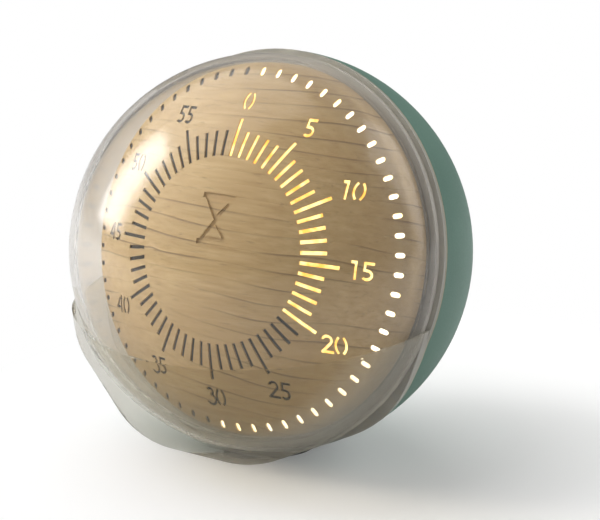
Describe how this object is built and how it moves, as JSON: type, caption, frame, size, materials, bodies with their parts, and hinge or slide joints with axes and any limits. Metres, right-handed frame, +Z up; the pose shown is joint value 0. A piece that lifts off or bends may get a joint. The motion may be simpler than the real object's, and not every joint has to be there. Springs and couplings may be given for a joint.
{
  "type": "kitchen timer",
  "caption": "Ball-shaped rotary countdown timer: a clear turning dome over a light-through wooden minute dial, in a fixed clear foot on a green rear shell.",
  "frame": {"origin": "on the resting plane, at the middle of the overall box's underside", "axes": "+Z up, the dial faces -Y and leans back, +X to the right when looking along +Y at the dial"},
  "size_m": [0.0906, 0.0923, 0.0907],
  "materials": {
    "green_shell": "satin moulded plastic, grey green",
    "gasket": "matte silicone, dark grey green",
    "clear_foot": "clear polycarbonate, faintly warm",
    "clear_dome": "polished clear polycarbonate",
    "beige_plastic": "matte moulded plastic, grey beige",
    "bearing_plastic": "smooth acetal, grey",
    "dial_wood": "light oak, fine grain, satin oil",
    "lit_mark": "lit translucent acrylic, warm white",
    "lit_dot": "lit translucent acrylic, white",
    "dark_mark": "unlit smoked acrylic",
    "diffuser": "milky light diffuser",
    "black_plastic": "black moulded plastic",
    "circuit_board": "green solder mask",
    "led": "phosphor lens",
    "gear_plastic": "natural nylon",
    "cell_wrap": "heat-shrink sleeve",
    "contact_brass": "sprung contact strip",
    "screw_steel": "zinc plated steel",
    "green_button": "satin moulded plastic, darker grey green",
    "pad_rubber": "matte rubber"
  },
  "bodies": {
    "base": {"rear_shell": "green_shell", "seam_gasket": "gasket", "front_foot": "clear_foot", "bearing_ring": "bearing_plastic", "wood_dial": "dial_wood", "lit_ticks": "lit_mark", "dark_ticks": "dark_mark", "lit_dots": "lit_dot", "dark_dots": "dark_mark", "lit_numerals": "lit_mark", "dark_numerals": "dark_mark", "light_diffuser": "diffuser", "light_baffle": "black_plastic", "led_board": "circuit_board", "tick_leds": "led", "dot_leds": "led", "dial_chassis": "beige_plastic", "encoder_body": "black_plastic", "battery_cradle": "bearing_plastic", "battery_cell": "cell_wrap", "cell_contacts": "contact_brass", "main_board": "circuit_board", "board_chips": "black_plastic", "board_screws": "screw_steel", "sound_buzzer": "black_plastic", "charge_socket": "screw_steel", "sound_switch": "black_plastic", "tact_switch": "black_plastic", "shell_screws": "screw_steel", "cradle_screws": "screw_steel", "base_pad": "pad_rubber"},
    "dome": {"clear_dome": "clear_dome", "gear_ring": "beige_plastic"},
    "encoder": {"encoder_shaft": "gear_plastic"},
    "knob": {"switch_knob": "gear_plastic"},
    "button": {"mode_button": "green_button", "tact_plunger": "gear_plastic"}
  },
  "joints": [
    {"name": "dome_turn", "type": "hinge", "parent": "base", "child": "dome", "pos_m": [0, -0.00186, 0.04619], "axis": [0, -0.9792, 0.2028], "continuous": true},
    {"name": "encoder_turn", "type": "hinge", "parent": "base", "child": "encoder", "pos_m": [0, 0.00483, 0.0785], "axis": [0, -0.9792, 0.2028], "continuous": true},
    {"name": "knob_slide", "type": "slide", "parent": "base", "child": "knob", "axis": [1, 0, 0], "range_m": [0, 0.003]},
    {"name": "button_press", "type": "slide", "parent": "base", "child": "button", "axis": [0, -0.9792, 0.2028], "range_m": [0, 0.0006], "stiffness_N_per_m": 3000}
  ],
  "couplings": [
    {"joint": "encoder_turn", "follows": "dome_turn", "ratio": 7.6}
  ]
}
